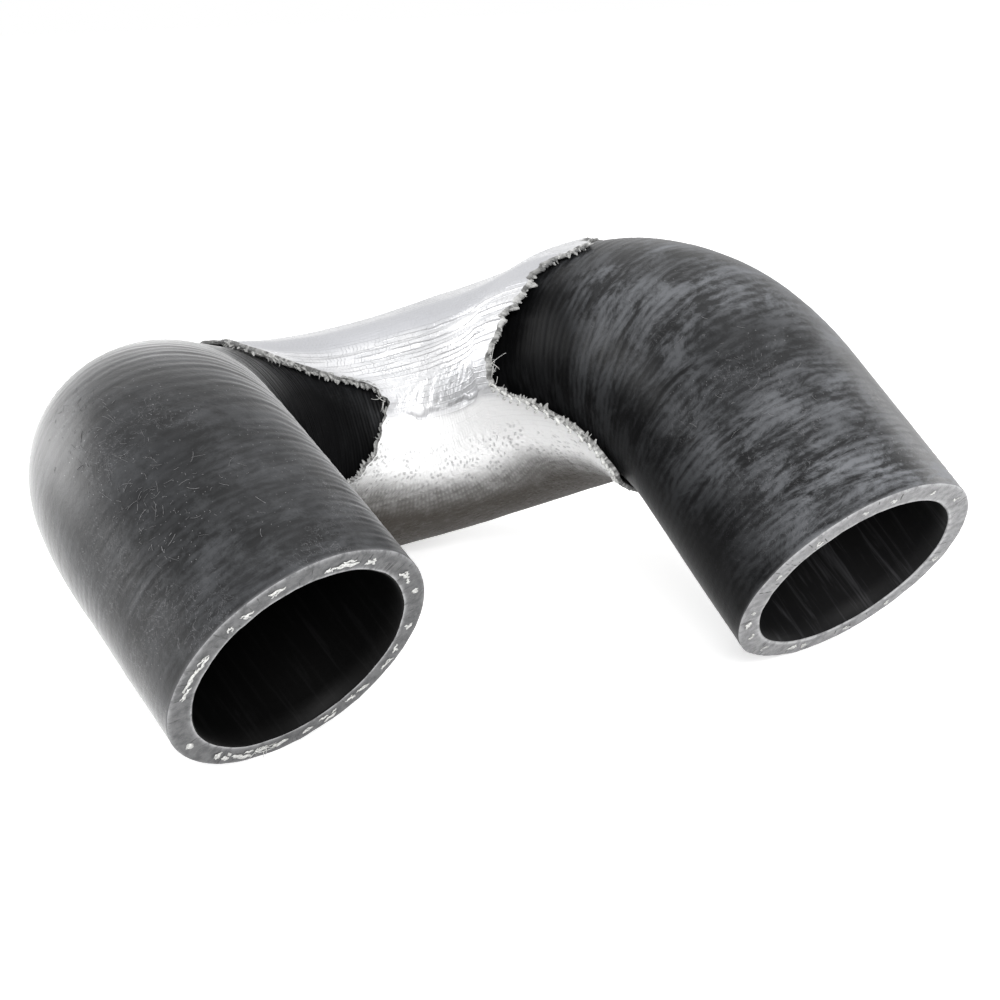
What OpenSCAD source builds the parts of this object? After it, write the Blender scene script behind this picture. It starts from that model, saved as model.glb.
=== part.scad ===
// Moulded radiator hose with a heat reflecting sleeve round its middle run.
// The hose is one piece of rubber tube that turns four times in space. It lies
// on the lower edges of its two cut ends and on the underside of its middle.
// X runs from the left end to the right end, Y away from the two open ends,
// Z up, and the table is at Z = 0.

/* [Hose] */
// Outside diameter of the hose
hose_od = 55; // [50:0.5:56]
// Thickness of the rubber wall
hose_wall = 5; // [4:0.25:6]
// Bend radius beside the left leg, on the centre line
left_leg_bend = 35.8; // [33:0.1:40]
// Bend radius behind the left knee, on the centre line
left_knee_bend = 43.6; // [40:0.1:47]
// Bend radius of the middle run, on the centre line
middle_bend = 52.1; // [48:0.1:53]
// Bend radius of the right knee, on the centre line
right_knee_bend = 57.6; // [53:0.1:59]

/* [Sleeve] */
// Thickness of the foil faced glass cloth
cloth = 1; // [0.6:0.1:1.4]
// Room between the hose and the sleeve where it lies close
cloth_gap = 0.6; // [0.5:0.05:0.9]
// How far the sleeve is stretched clear of the dip in the top of the hose
tent_height = 0.9; // [0:0.1:4]
// How far the lower panel bulges out below the crease
lower_bulge = 2.2; // [0:0.2:3]
// How far the left mouth stands off the hose
left_flare = 2.6; // [0:0.2:3]
// How far the right mouth stands off the hose
right_flare = 3.2; // [0:0.2:4]

/* [Mesh] */
// Facets round the sleeve
around = 54; // [48:2:56]
// Facets along the sleeve
along = 24; // [20:1:26]

/* [Hidden] */
hose_r = hose_od / 2;
bore_r = hose_r - hose_wall;

// Corner points of the centre line, from the left end to the right end
corners = [
    [-35.2, -68.6, 23.9],
    [-63.9, -34.2, 49.3],
    [-72, 5.9, 40.9],
    [-36.4, 113.9, 4.5],
    [43.3, 19.1, 64.9],
    [74.6, -33.8, 22.7]
];
bend_r = [0, left_leg_bend, left_knee_bend, middle_bend, right_knee_bend, 0];
last = len(corners) - 1;

// The sleeve's raw edges: angle round the hose from its top towards the
// open ends, and distance along the centre line from the left end
left_edge = [
    [0, 110], [10, 104], [18, 101], [29, 108], [46, 150], [60, 161], [68, 152],
    [84, 140], [111, 108], [150, 94], [200, 88], [270, 92], [330, 104]
];
right_edge = [
    [0, 238], [10, 240], [19, 242], [30, 238], [49, 237], [64, 234], [78, 230],
    [88, 229], [95, 234], [104, 247], [114, 271], [129, 285], [180, 287], [230, 282],
    [270, 272], [300, 262], [320, 250], [340, 241]
];
// The crease between the top panel and the lower one: where it starts and
// ends along the hose, and its angle there
crease_from = [161, 62];
crease_to = [229, 91];
crease_width = 6;

function unit(v) = v / norm(v);
function turned(a, b) = acos(unit(a) * unit(b));
function total(list, n) = n == 0 ? 0 : list[n - 1] + total(list, n - 1);

// Directions of the straight stretches, and the turn at each corner
dirs = [for (i = [0 : last - 1]) unit(corners[i + 1] - corners[i])];
turns = [for (i = [0 : last]) i == 0 || i == last ? 0 : turned(dirs[i - 1], dirs[i])];
trims = [for (i = [0 : last]) bend_r[i] * tan(turns[i] / 2)];
// Directions from each bend's start to its centre
inward = [
    for (i = [0 : last])
        i == 0 || i == last ? [0, 0, 0]
        : unit(dirs[i] - (dirs[i] * dirs[i - 1]) * dirs[i - 1])
];
straights = [
    for (i = [0 : last - 1]) norm(corners[i + 1] - corners[i]) - trims[i] - trims[i + 1]
];
arcs = [for (i = [1 : last]) bend_r[i] * turns[i] * PI / 180];
// Distance along the centre line at which each straight stretch starts
starts = [for (i = [0 : last - 1]) total(straights, i) + total(arcs, i)];

hose_length = total(straights, last) + total(arcs, last);

// The swept bends start and end a little way into the legs. Their facets stand
// just clear of the legs' true round surfaces, inside and outside.
sweep_lead = 3;
leg_lap = 2;
sweep_step = 8;
hose_facets = 36;
sweep_clear = 0.05;
sweep_r = (hose_r + sweep_clear) / cos(180 / hose_facets);
sweep_bore_r = bore_r - sweep_clear;
sweep_from = straights[0] - sweep_lead;
sweep_to = starts[last - 1] + sweep_lead;
bend_stations = concat(
    [sweep_from],
    [
        for (i = [1 : last - 1])
            let (
                steps = ceil(turns[i] / sweep_step),
                from = starts[i - 1] + straights[i - 1]
            )
            for (k = [0 : steps]) from + arcs[i - 1] * k / steps
    ],
    [sweep_to]
);

function stretch_at(s) = max([for (i = [0 : last - 1]) if (i == 0 || s >= starts[i]) i]);
function bend_start(i) = corners[i] - trims[i] * dirs[i - 1];
// Angle turned so far in the bend after stretch i, negative while still on the stretch
function bend_angle(i, s) =
    i == last - 1 ? -1 : (s - starts[i] - straights[i]) / bend_r[i + 1] * 180 / PI;
function centre(s) =
    let (i = stretch_at(s), a = bend_angle(i, s))
    a <= 0 ? corners[i] + (trims[i] + s - starts[i]) * dirs[i]
    : bend_start(i + 1) + bend_r[i + 1] * (sin(a) * dirs[i] + (1 - cos(a)) * inward[i + 1]);
function heading(s) =
    let (i = stretch_at(s), a = bend_angle(i, s))
    a <= 0 ? dirs[i] : cos(a) * dirs[i] + sin(a) * inward[i + 1];
// Unit vector square to the hose at s, turned q degrees from its top
function outward(s, q) =
    let (t = heading(s), top = unit([0, 0, 1] - t[2] * t))
    cos(q) * top + sin(q) * cross(t, top);

// Smooth closed curve through [angle, value] points
function knot(pts, k) = [
    pts[(k + len(pts)) % len(pts)][0] + 360 * floor(k / len(pts)),
    pts[(k + len(pts)) % len(pts)][1]
];
function slope(a, b) = (b[1] - a[1]) / (b[0] - a[0]);
function blend(a, b, ma, mb, t) =
    (2 * t ^ 3 - 3 * t ^ 2 + 1) * a[1] + (3 * t ^ 2 - 2 * t ^ 3) * b[1]
    + ((t ^ 3 - 2 * t ^ 2 + t) * ma + (t ^ 3 - t ^ 2) * mb) * (b[0] - a[0]);
function edge_at(pts, q) =
    let (
        k = max([for (i = [0 : len(pts) - 1]) if (pts[i][0] <= q) i]),
        a = knot(pts, k),
        b = knot(pts, k + 1)
    )
    blend(
        a, b,
        slope(knot(pts, k - 1), b), slope(a, knot(pts, k + 2)),
        (q - a[0]) / (b[0] - a[0])
    );

function fall(x, width) = exp(-((x / width) ^ 2));
function apart(q, from) = (q - from + 540) % 360 - 180;
function crease_at(s) =
    let (t = (s - crease_from[0]) / (crease_to[0] - crease_from[0]))
    crease_from[1] + (crease_to[1] - crease_from[1]) * max(-0.2, min(1.2, t));

// Triangles of a closed tube wall: rows of points along it, the outer skin's
// points first and the inner skin's after them
function tube_faces(rows, facets, inner) =
    let (
        ahead = [
            for (i = [0 : rows - 1], j = [0 : facets - 1])
                [i * facets + j, i * facets + (j + 1) % facets]
        ],
        rim = [for (j = [0 : facets - 1]) [j, (j + 1) % facets]],
        end = rows * facets
    )
    [
        for (e = ahead) each [
            [e[0], e[0] + facets, e[1] + facets],
            [e[0], e[1] + facets, e[1]],
            [inner + e[0], inner + e[1] + facets, inner + e[0] + facets],
            [inner + e[0], inner + e[1], inner + e[1] + facets]
        ],
        for (e = rim) each [
            [e[0], e[1], inner + e[1]],
            [e[0], inner + e[1], inner + e[0]],
            [end + e[0], inner + end + e[1], end + e[1]],
            [end + e[0], inner + end + e[0], inner + end + e[1]]
        ]
    ];

// Inside radius of the sleeve: it is tented over the dip in the hose's top,
// bulges below the crease, is pinched along it, and stands open at its mouths
function inside_r(s, q, u0, u1) =
    let (
        off_crease = 1 - fall(apart(q, crease_at(s)), crease_width),
        tent = tent_height * fall(s - 186, 22) * fall(apart(q, 0), 38),
        bulge = lower_bulge * fall(s - 190, 45) * fall(apart(q, crease_at(s) + 26), 20),
        left_open = left_flare * exp((u0 - s) / 9) * fall(apart(q, 62), 45),
        right_open = right_flare * exp((s - u1) / 10) * fall(apart(q, 85), 45)
    )
    hose_r + cloth_gap + (tent + bulge) * off_crease + max(left_open, right_open);

// Straight end of the hose, a true round tube that a hose neck fits
module leg_tube(cut_end, ahead, long) {
    side = unit(cross([0, 0, 1], ahead));
    up = cross(ahead, side);
    multmatrix([
        [side[0], up[0], ahead[0], cut_end[0]],
        [side[1], up[1], ahead[1], cut_end[1]],
        [side[2], up[2], ahead[2], cut_end[2]]
    ])
    rotate([0, 0, 180 / hose_facets])
    linear_extrude(height = long)
    difference() {
        circle(r = hose_r, $fn = 96);
        circle(r = bore_r, $fn = 96);
    }
}

// The four bends, swept as one closed tube that takes in the inner end of each leg
module bends() {
    count = len(bend_stations) * hose_facets;
    function ring(r) = [
        for (s = bend_stations, j = [0 : hose_facets - 1])
            centre(s) + r * outward(s, 360 * j / hose_facets)
    ];
    polyhedron(
        points = concat(ring(sweep_r), ring(sweep_bore_r)),
        faces = tube_faces(len(bend_stations) - 1, hose_facets, count)
    );
}

// One moulded rubber tube, cut square at both ends
module hose() {
    color([0.16, 0.17, 0.18])
    union() {
        leg_tube(corners[0], dirs[0], sweep_from + leg_lap);
        bends();
        leg_tube(corners[last], -dirs[last - 1], hose_length - sweep_to + leg_lap);
    }
}

// One wrap of foil faced glass cloth, a closed sheet with raw edges
module heat_sleeve() {
    angles = [for (j = [0 : around - 1]) 360 * j / around];
    from = [for (q = angles) edge_at(left_edge, q)];
    to = [for (q = angles) edge_at(right_edge, q)];
    function skin(extra) = [
        for (i = [0 : along], j = [0 : around - 1])
            let (s = from[j] + (to[j] - from[j]) * i / along, q = angles[j])
            centre(s) + (inside_r(s, q, from[j], to[j]) + extra) * outward(s, q)
    ];
    color([0.80, 0.80, 0.79])
    polyhedron(
        points = concat(skin(cloth), skin(0)),
        faces = tube_faces(along, around, (along + 1) * around)
    );
}

hose();
heat_sleeve();
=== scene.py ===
"""Radiator hose with a foil faced heat sleeve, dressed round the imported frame.

Lengths are in millimetres and angles in degrees, until a mesh is made. A place on the hose is
a distance s along its centre line from the left end, an angle q round it from its top towards
the open ends, and a radius r.
"""

import math
import random

import bpy
import numpy as np
from mathutils import Matrix, Vector

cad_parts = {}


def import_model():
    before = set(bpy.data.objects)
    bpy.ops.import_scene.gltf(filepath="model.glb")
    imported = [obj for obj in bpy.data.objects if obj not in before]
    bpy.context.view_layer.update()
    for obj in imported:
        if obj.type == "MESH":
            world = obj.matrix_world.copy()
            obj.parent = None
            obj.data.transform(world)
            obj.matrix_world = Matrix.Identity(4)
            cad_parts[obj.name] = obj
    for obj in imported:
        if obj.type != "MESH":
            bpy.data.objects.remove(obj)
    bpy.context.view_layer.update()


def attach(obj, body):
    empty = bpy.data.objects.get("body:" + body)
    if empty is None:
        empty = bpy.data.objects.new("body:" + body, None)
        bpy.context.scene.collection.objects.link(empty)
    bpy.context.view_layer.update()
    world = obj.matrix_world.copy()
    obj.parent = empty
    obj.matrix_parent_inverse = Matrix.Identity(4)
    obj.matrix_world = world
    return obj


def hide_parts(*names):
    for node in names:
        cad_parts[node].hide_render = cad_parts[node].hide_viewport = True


MM = 0.001

# Hose, as the part is built
CORNERS = [
    (-35.2, -68.6, 23.9),
    (-63.9, -34.2, 49.3),
    (-72.0, 5.9, 40.9),
    (-36.4, 113.9, 4.5),
    (43.3, 19.1, 64.9),
    (74.6, -33.8, 22.7),
]
BEND_R = [35.8, 43.6, 52.1, 57.6]
HOSE_R = 27.5
BORE_R = 22.5
WALL = HOSE_R - BORE_R
MID_WALL_R = (HOSE_R + BORE_R) / 2
RIDGE_PITCH = 1.75
CUT_LIP = 0.35

# Sleeve, as the part is built
CLOTH = 1.0
CLOTH_GAP = 0.6
CLOTH_R = HOSE_R + CLOTH
CREASE_FROM = (161, 62)
CREASE_TO = (229, 91)
TENT_HEIGHT = 0.9
LOWER_BULGE = 2.2
LEFT_FLARE = 2.6
RIGHT_FLARE = 3.2

# The sleeve's raw edges as (angle, distance), shorter than in the part where the photo hides them
LEFT_EDGE = [
    (0, 113), (10, 107), (18, 102), (29, 108), (46, 151), (60, 164), (68, 156),
    (84, 143), (111, 108), (150, 94), (200, 88), (270, 92), (330, 110),
]
RIGHT_EDGE = [
    (0, 236), (10, 239), (19, 242), (30, 238), (49, 237), (64, 234), (78, 230),
    (88, 229), (95, 234), (104, 248), (111, 265), (116, 272), (121, 275), (128, 274),
    (140, 270), (165, 268), (190, 272), (230, 276), (270, 270), (300, 257), (320, 242), (340, 235),
]
# Angles between which the photo shows the sleeve
SEEN_FROM = -24
SEEN_TO = 156
# Least room between the cloth and the hose
MIN_GAP = 0.3
# Spacing of the yarns, slant of those across the run, and spacing of the lines along it
WEAVE_PITCH = 1.7
WEAVE_SLANT = 0.22
RUN_PITCH = 1.3

# Rubber colours, linear
RUBBER_DARK = (0.0078, 0.0080, 0.0086, 1)
RUBBER_PALE = (0.019, 0.0195, 0.0208, 1)
RUBBER_SCUFF = (0.050, 0.052, 0.055, 1)
RUBBER_CHALK = (0.165, 0.171, 0.183, 1)
# Painted shade for the inner sides of the knees and the right leg
RUBBER_SHADED = (0.003, 0.003, 0.0032, 1)
RUBBER_SPECK = (0.30, 0.30, 0.31, 1)
RUBBER_SCRATCH = (0.20, 0.20, 0.21, 1)
# Painted highlight along the rims of the cuts
RUBBER_RIM_HIGHLIGHT = (0.30, 0.30, 0.31, 1)
# The left bore's colours are painted darker than the right bore's, as shade
LEFT_BORE = (0.002, 0.002, 0.002, 1)
LEFT_BORE_STREAK = (0.006, 0.006, 0.0062, 1)
RIGHT_BORE = (0.007, 0.007, 0.0073, 1)
RIGHT_BORE_STREAK = (0.030, 0.030, 0.032, 1)
# The left cut's colours are painted darker than the right cut's, as shade; both cuts are the same
# rubber
LEFT_CUT_DARK = (0.066, 0.067, 0.069, 1)
LEFT_CUT_PALE = (0.150, 0.151, 0.154, 1)
RIGHT_CUT_DARK = (0.17, 0.17, 0.175, 1)
RIGHT_CUT_PALE = (0.32, 0.32, 0.325, 1)
CUT_PIT = (0.035, 0.035, 0.035, 1)
# Painted highlight along the rims of the cuts
CUT_RIM_HIGHLIGHT = (0.62, 0.62, 0.63, 1)

# Sleeve colours, linear
TOP_DARK = (0.58, 0.585, 0.60, 1)
TOP_PALE = (0.72, 0.72, 0.73, 1)
TOP_BAND = (0.46, 0.465, 0.49, 1)
# Near white: painted reflection of the bright floor in front, on the same foil as the top panel
LOW_PANEL_FLOOR_GLARE = (0.98, 0.98, 0.98, 1)
# Painted shade in the weave's grooves, the dents and the crease
FOIL_GROOVE_SHADE = (0.36, 0.36, 0.37, 1)
# Painted shade on the lower panel's side, in two tones of the weave, and on its underside, where it
# faces the shadowed floor
SIDE_DARK = (0.11, 0.107, 0.103, 1)
SIDE_PALE = (0.27, 0.264, 0.256, 1)
UNDERSIDE_SHADE = (0.055, 0.048, 0.041, 1)
GLASS_DARK = (0.13, 0.13, 0.127, 1)
GLASS_PALE = (0.60, 0.60, 0.59, 1)
GRIME = (0.11, 0.11, 0.108, 1)
WHITE_YARN = (0.80, 0.80, 0.78, 1)
GREY_YARN = (0.46, 0.46, 0.45, 1)
DARK_YARN = (0.20, 0.20, 0.20, 1)
PALE_LINT = (0.22, 0.22, 0.225, 1)

# Camera that took the photograph, in the part's frame
CAMERA_AT = (2.802, -341.684, 145.529)
CAMERA_RIGHT = (0.99917412, -0.01218901, -0.03876218)
CAMERA_UP = (0.04062552, 0.3185375, 0.94703929)
LENS = 58.133
SENSOR = 36.0

# Studio: the floor's own light, the light round it and the floor's half size in metres
FLOOR_GLOW = 0.58
WORLD_LIGHT = 0.55
FLOOR_HALF = 4.0


# Noise on points in space, the same on every run

def lattice(ix, iy, iz, seed):
    """A value from 0 to 1 for each whole-number point."""
    h = ix * 374761393 + iy * 668265263 + iz * 2147483647 + seed * 1274126177
    h = (h ^ (h >> 13)) * 1274126177
    h = h ^ (h >> 16)
    return (h & 0xFFFFFF) / float(0xFFFFFF)


def value_noise(p, seed=0):
    """Smooth noise from -1 to 1 at points p of shape (..., 3)."""
    p = np.asarray(p, float)
    cell = np.floor(p).astype(np.int64)
    f = p - cell
    f = f * f * f * (f * (f * 6 - 15) + 10)
    out = 0
    for dx in (0, 1):
        wx = f[..., 0] if dx else 1 - f[..., 0]
        for dy in (0, 1):
            wy = f[..., 1] if dy else 1 - f[..., 1]
            for dz in (0, 1):
                wz = f[..., 2] if dz else 1 - f[..., 2]
                value = lattice(cell[..., 0] + dx, cell[..., 1] + dy, cell[..., 2] + dz, seed)
                out = out + wx * wy * wz * value
    return out * 2 - 1


def fbm(p, octaves, seed):
    """Noise with finer and weaker layers on top."""
    p = np.asarray(p, float)
    out, size, weight, total = 0, 1.0, 1.0, 0
    for k in range(octaves):
        out = out + weight * value_noise(p * size + 17.3 * k, seed + k)
        total += weight
        size *= 2.03
        weight *= 0.5
    return out / total


def crumpled(x, y, seed):
    """Facets that meet in sharp creases: the distance to the nearest of one point per square."""
    cx, cy = np.floor(x).astype(np.int64), np.floor(y).astype(np.int64)
    near = np.full(np.shape(x), 9.0)
    for dx in (-1, 0, 1):
        for dy in (-1, 0, 1):
            px = cx + dx + lattice(cx + dx, cy + dy, 0 * cx, seed)
            py = cy + dy + lattice(cx + dx, cy + dy, 0 * cx, seed + 1)
            near = np.minimum(near, np.hypot(x - px, y - py))
    return near


def fall(x, width):
    """A bell that is 1 at 0."""
    return np.exp(-((x / width) ** 2))


def rise(x, width):
    """A smooth step from 0 to 1 that passes 0.5 at 0."""
    return 1 / (1 + np.exp(-x / width))


def apart(q, centre):
    """Angle from centre to q, from -180 to 180."""
    return np.mod(q - centre + 540, 360) - 180


def on_ring(degrees):
    """Points of a unit circle, so that noise on them has no seam."""
    return np.stack([np.cos(np.radians(degrees)), np.sin(np.radians(degrees)), 0 * degrees], -1)


# Centre line

class Path:
    """Straight stretches joined by true arcs through a list of corners."""

    def __init__(self, corners, radii):
        v = np.array(corners, float)
        d = np.diff(v, axis=0)
        long = np.linalg.norm(d, axis=1)
        d /= long[:, None]
        n = len(v)
        self.v, self.d = v, d
        self.r = np.array([0, *radii, 0], float)
        turn = np.zeros(n)
        self.inward = np.zeros((n, 3))
        for i in range(1, n - 1):
            c = d[i - 1] @ d[i]
            turn[i] = math.acos(c)
            side = d[i] - c * d[i - 1]
            self.inward[i] = side / np.linalg.norm(side)
        self.trim = self.r * np.tan(turn / 2)
        self.straight = long - self.trim[:-1] - self.trim[1:]
        self.start = np.zeros(n - 1)
        for i in range(1, n - 1):
            self.start[i] = self.start[i - 1] + self.straight[i - 1] + self.r[i] * turn[i]
        self.length = self.start[-1] + self.straight[-1]

    def at(self, s):
        """Points, directions, and the two unit vectors square to them, at distances s."""
        s = np.asarray(s, float)
        i = np.clip(np.searchsorted(self.start, s, side="right") - 1, 0, len(self.start) - 1)
        w = s - self.start[i]
        on_arc = (w > self.straight[i]) & (i < len(self.start) - 1)
        c = np.minimum(i + 1, len(self.v) - 2)
        a = np.where(on_arc, (w - self.straight[i]) / self.r[c], 0)[..., None]
        ahead = self.d[i]
        line = self.v[i] + ahead * (self.trim[i] + w)[..., None]
        corner = self.v[c] - self.d[c - 1] * self.trim[c][..., None]
        arc = corner + self.r[c][..., None] * (np.sin(a) * ahead + (1 - np.cos(a)) * self.inward[c])
        point = np.where(on_arc[..., None], arc, line)
        heading = np.where(on_arc[..., None], np.cos(a) * ahead + np.sin(a) * self.inward[c], ahead)
        top = np.array([0, 0, 1.0]) - heading[..., 2:3] * heading
        top /= np.linalg.norm(top, axis=-1, keepdims=True)
        return point, heading, top, np.cross(heading, top)

    def outward(self, s, q):
        """Unit vectors square to the centre line."""
        _, _, top, side = self.at(s)
        turn = np.radians(q)[..., None]
        return np.cos(turn) * top + np.sin(turn) * side

    def surface(self, s, q, r):
        """Points at radius r from the centre line."""
        return self.at(s)[0] + np.asarray(r)[..., None] * self.outward(s, q)


PATH = Path(CORNERS, BEND_R)


def edge_at(knots, degrees):
    """Smooth closed curve through (angle, distance) knots."""
    x = np.array([k[0] for k in knots], float)
    y = np.array([k[1] for k in knots], float)
    xs = np.concatenate([x[-2:] - 360, x, x[:3] + 360])
    ys = np.concatenate([y[-2:], y, y[:3]])
    q = np.mod(np.asarray(degrees, float), 360)
    i = np.clip(np.searchsorted(xs, q, side="right") - 1, 1, len(x) + 2)
    h = xs[i + 1] - xs[i]
    t = (q - xs[i]) / h
    before = (ys[i + 1] - ys[i - 1]) / (xs[i + 1] - xs[i - 1])
    after = (ys[i + 2] - ys[i]) / (xs[i + 2] - xs[i])
    return (
        (2 * t**3 - 3 * t**2 + 1) * ys[i]
        + (3 * t**2 - 2 * t**3) * ys[i + 1]
        + ((t**3 - 2 * t**2 + t) * before + (t**3 - t**2) * after) * h
    )


# Meshes

def put_in_scene(name, data):
    obj = bpy.data.objects.new(name, data)
    bpy.context.scene.collection.objects.link(obj)
    return obj


def ring_mesh(name, points, uv, slots, materials, values):
    """A closed surface from rows of rings that join up both ways.

    points is (rows, columns, 3), uv is (rows + 1, columns + 1, 2) and slots gives each row of
    faces its material. values are named numbers at the points, which the materials read. The
    columns are turned round, so that the faces look outwards.
    """
    points, uv = points[:, ::-1], uv[:, ::-1] * MM
    rows, columns = points.shape[:2]
    i, j = np.meshgrid(np.arange(rows), np.arange(columns), indexing="ij")
    i2, j2 = (i + 1) % rows, (j + 1) % columns
    quads = np.stack([i * columns + j, i * columns + j2, i2 * columns + j2, i2 * columns + j], -1)
    mesh = bpy.data.meshes.new(name)
    mesh.from_pydata((points.reshape(-1, 3) * MM).tolist(), [], quads.reshape(-1, 4).tolist())
    corner_uv = np.stack([uv[i, j], uv[i, j + 1], uv[i + 1, j + 1], uv[i + 1, j]], 2)
    layer = mesh.uv_layers.new(name="UVMap")
    layer.data.foreach_set("uv", corner_uv.reshape(-1).astype(np.float32))
    for m in materials:
        mesh.materials.append(m)
    mesh.polygons.foreach_set("material_index", np.repeat(np.asarray(slots, np.int32), columns))
    mesh.polygons.foreach_set("use_smooth", np.ones(rows * columns, bool))
    for key, numbers in values.items():
        field = mesh.attributes.new(key, "FLOAT", "POINT")
        field.data.foreach_set("value", numbers[:, ::-1].astype(np.float32).reshape(-1))
    mesh.update()
    return put_in_scene(name, mesh)


class Pieces:
    """Collects many small closed tubes into one mesh."""

    def __init__(self):
        self.points, self.faces = [], []

    def tube(self, centres, radii, sides, flat=1.0, across=(0.3, 0.5, 0.8)):
        """A tapered tube along the given points, closed to a point at both ends.

        flat squeezes it along across.
        """
        c = np.array(centres, float)
        n = len(c)
        d = np.gradient(c, axis=0)
        d /= np.linalg.norm(d, axis=1, keepdims=True) + 1e-12
        a = np.cross(d, np.array(across, float))
        a /= np.linalg.norm(a, axis=1, keepdims=True) + 1e-12
        b = np.cross(d, a)
        base = sum(len(p) for p in self.points)
        rings = []
        for k in range(n):
            for m in range(sides):
                q = 2 * math.pi * m / sides
                rings.append(c[k] + radii[k] * (math.cos(q) * a[k] + flat * math.sin(q) * b[k]))
        rings += [c[0] - d[0] * radii[0] * 0.5, c[-1] + d[-1] * radii[-1] * 0.5]
        self.points.append(np.array(rings))
        for k in range(n - 1):
            for m in range(sides):
                m2 = (m + 1) % sides
                self.faces.append(
                    (base + k * sides + m, base + k * sides + m2,
                     base + (k + 1) * sides + m2, base + (k + 1) * sides + m)
                )
        first, final = base + n * sides, base + n * sides + 1
        for m in range(sides):
            m2 = (m + 1) % sides
            self.faces.append((first, base + m2, base + m))
            self.faces.append((final, base + (n - 1) * sides + m, base + (n - 1) * sides + m2))

    def build(self, name, material):
        points = np.concatenate(self.points)
        mesh = bpy.data.meshes.new(name)
        mesh.from_pydata((points * MM).tolist(), [], self.faces)
        mesh.materials.append(material)
        mesh.polygons.foreach_set("use_smooth", np.ones(len(self.faces), bool))
        mesh.update()
        return put_in_scene(name, mesh)


# Node helpers

class Nodes:
    """Short calls for the node tree of a material or a world."""

    def __init__(self, owner, output):
        owner.use_nodes = True
        self.owner = owner
        self.tree = owner.node_tree
        self.tree.nodes.clear()
        self.out = self.add(output)

    def add(self, kind, inputs=None, **settings):
        node = self.tree.nodes.new(kind)
        for key, value in settings.items():
            setattr(node, key, value)
        for key, value in (inputs or {}).items():
            self.set(node.inputs[key], value)
        return node

    def set(self, socket, value):
        if isinstance(value, bpy.types.NodeSocket):
            self.tree.links.new(value, socket)
        else:
            socket.default_value = value

    def show(self, shader):
        """Ends the tree with a shader, and returns what the tree belongs to."""
        self.tree.links.new(shader.outputs[0], self.out.inputs["Surface"])
        return self.owner

    def surface(self, **inputs):
        names = {k.replace("_", " "): v for k, v in inputs.items()}
        return self.show(self.add("ShaderNodeBsdfPrincipled", names))

    def math(self, operation, a, b=0.0, clamp=False):
        node = self.add("ShaderNodeMath", operation=operation, use_clamp=clamp)
        self.set(node.inputs[0], a)
        self.set(node.inputs[1], b)
        return node.outputs[0]

    def plus(self, a, b, clamp=False):
        return self.math("ADD", a, b, clamp)

    def minus(self, a, b, clamp=False):
        return self.math("SUBTRACT", a, b, clamp)

    def times(self, a, b, clamp=False):
        return self.math("MULTIPLY", a, b, clamp)

    def between(self, value, low, high, to_low=0.0, to_high=1.0):
        """A smooth step of value, from to_low at low to to_high at high."""
        node = self.add(
            "ShaderNodeMapRange",
            {"Value": value, "From Min": low, "From Max": high, "To Min": to_low, "To Max": to_high},
            interpolation_type="SMOOTHSTEP",
        )
        return node.outputs["Result"]

    def broken(self, mask, noise, low, high):
        """A mask that is kept only where the noise is high."""
        return self.times(mask, self.between(noise, low, high))

    def mix(self, factor, a, b):
        node = self.add("ShaderNodeMix", data_type="RGBA")
        self.set(node.inputs[0], factor)
        self.set(node.inputs[6], a)
        self.set(node.inputs[7], b)
        return node.outputs[2]

    def value(self, name):
        """A named number of the mesh's points."""
        return self.add("ShaderNodeAttribute", attribute_name=name).outputs["Fac"]

    def axes(self, vector):
        return self.add("ShaderNodeSeparateXYZ", {"Vector": vector}).outputs

    def uv(self, scale_u=1000.0, scale_v=1000.0):
        """The surface's own lengths, in millimetres when the scales are 1000."""
        coords = self.add("ShaderNodeUVMap", uv_map="UVMap").outputs["UV"]
        node = self.add("ShaderNodeMapping", {"Vector": coords, "Scale": (scale_u, scale_v, 1.0)})
        return node.outputs["Vector"]

    def place(self, scale=1000.0):
        """Places in space, in millimetres when the scale is 1000."""
        coords = self.add("ShaderNodeTexCoord").outputs["Object"]
        node = self.add("ShaderNodeMapping", {"Vector": coords, "Scale": (scale, scale, scale)})
        return node.outputs["Vector"]

    def from_left(self, start, stop, to_low=0.0, to_high=1.0):
        """A number that changes from left to right between two places of the part."""
        return self.between(self.axes(self.place())["X"], start, stop, to_low, to_high)

    def wrapped(self, along, round_it):
        """Coordinates for noise on the hose, with no seam where its unrolled lengths meet.

        along and round_it are the features per metre along the hose and round it.
        """
        lengths = self.axes(self.uv(1.0, 1.0))
        angle = self.math("DIVIDE", lengths["Y"], HOSE_R * MM)
        reach = HOSE_R * MM * round_it
        inputs = {
            "X": self.times(self.math("COSINE", angle), reach),
            "Y": self.times(self.math("SINE", angle), reach),
            "Z": self.times(lengths["X"], along),
        }
        return self.add("ShaderNodeCombineXYZ", inputs).outputs[0]

    def cells(self, vector, randomness):
        """Distance to the nearest of a jittered grid of points, one in each unit square."""
        node = self.add(
            "ShaderNodeTexVoronoi",
            {"Vector": vector, "Scale": 1.0, "Randomness": randomness},
            voronoi_dimensions="2D",
        )
        return node.outputs["Distance"]

    def noise(self, vector, scale, detail=3.0, rough=0.5, distortion=0.0):
        node = self.add(
            "ShaderNodeTexNoise",
            {"Vector": vector, "Scale": scale, "Detail": detail, "Roughness": rough,
             "Distortion": distortion},
        )
        return node.outputs["Fac"]

    def bump(self, height, distance, strength):
        inputs = {"Height": height, "Distance": distance, "Strength": strength}
        return self.add("ShaderNodeBump", inputs).outputs["Normal"]


def new_material(name):
    return Nodes(bpy.data.materials.new(name), "ShaderNodeOutputMaterial")


def grey(value):
    return (value, value, value, 1.0)


# Materials

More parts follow.
